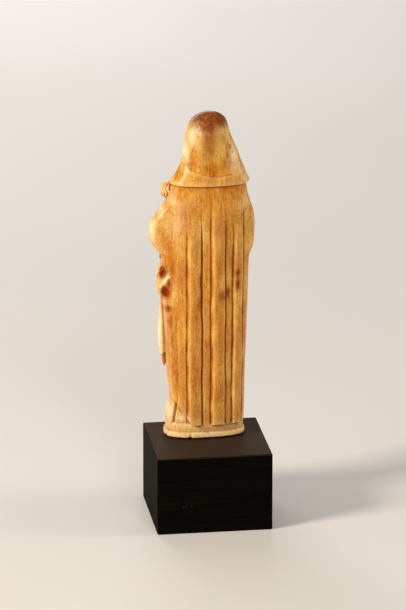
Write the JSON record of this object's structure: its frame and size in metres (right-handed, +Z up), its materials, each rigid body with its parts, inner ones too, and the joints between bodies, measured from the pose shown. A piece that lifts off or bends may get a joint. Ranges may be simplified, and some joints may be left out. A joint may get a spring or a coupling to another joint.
{
  "type": "carved ivory virgin and child statuette",
  "caption": "Standing veiled Virgin with the Child on her left arm, carved in one piece of ivory, on a square ebonised wooden block.",
  "frame": {"origin": "middle of the wooden block's underside", "axes": "+Z up, the figure faces -Y, its own left side with the Child is +X"},
  "size_m": [0.047, 0.0454, 0.1683],
  "materials": {
    "ivory": "old ivory with a honey patina, hand polished, satin",
    "ebonised_wood": "hardwood stained black and waxed, satin"
  },
  "bodies": {
    "root": {"ivory_figure": "ivory", "wooden_block": "ebonised_wood"}
  },
  "joints": []
}
